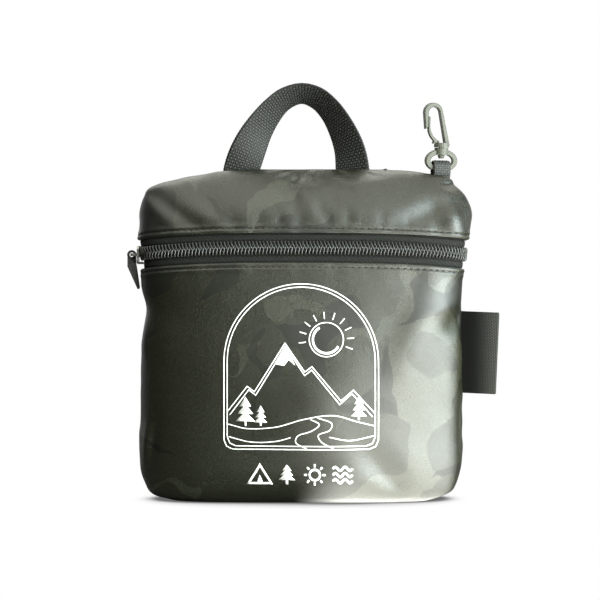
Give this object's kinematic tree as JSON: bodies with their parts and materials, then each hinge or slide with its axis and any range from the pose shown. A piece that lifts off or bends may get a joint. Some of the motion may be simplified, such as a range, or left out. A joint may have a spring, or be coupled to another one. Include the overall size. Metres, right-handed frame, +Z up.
{
  "type": "packable backpack folded in its pouch",
  "caption": "Soft zipped pouch holding a folded backpack, with a webbing carry handle, a swivel snap hook on a loop and a pull tab in the side seam.",
  "frame": {"origin": "middle of the flat foot that the pouch stands on", "axes": "+Z up the pouch to its handle, +Y to its back, +X to the snap hook's side"},
  "size_m": [0.2149, 0.0471, 0.2389],
  "materials": {
    "cloth": "dark olive camouflage print, coated, satin sheen",
    "tape": "woven, matte",
    "coil": "dark grey nylon coil, glossy",
    "webbing": "ribbed webbing, dull sheen",
    "ribbon": "narrow black webbing",
    "metal": "dark plated, glossy",
    "rubber": "black, satin",
    "plastic": "moulded grey-green acetal, satin"
  },
  "bodies": {
    "pouch": {"front_panel": "cloth", "top_panel": "cloth", "back_panel": "cloth", "folded_bag": "cloth", "zip_tape_lower": "tape", "zip_tape_upper": "tape", "zip_coil_lower": "coil", "zip_coil_upper": "coil", "zip_slider": "metal", "handle_webbing": "webbing", "hook_loop": "ribbon", "side_tab": "ribbon", "swivel_eye": "plastic"},
    "puller": {"zip_puller": "rubber"},
    "hook": {"snap_hook": "plastic"},
    "gate": {"hook_gate": "plastic"}
  },
  "joints": [
    {"name": "puller_swing", "type": "hinge", "parent": "pouch", "child": "puller", "pos_m": [-0.09712, -0.00291, 0.14], "axis": [-0.08, 0.9968, 0], "range_deg": [0, 160]},
    {"name": "hook_swivel", "type": "hinge", "parent": "pouch", "child": "hook", "pos_m": [0.08121, 0.00354, 0.20013], "axis": [0.0289, -0.1361, 0.9903], "continuous": true},
    {"name": "gate_flex", "type": "hinge", "parent": "hook", "child": "gate", "pos_m": [0.07747, 0.00189, 0.20605], "axis": [-0.2059, 0.9686, 0.1392], "range_deg": [0, 15], "stiffness_Nm_per_rad": 0.02}
  ]
}
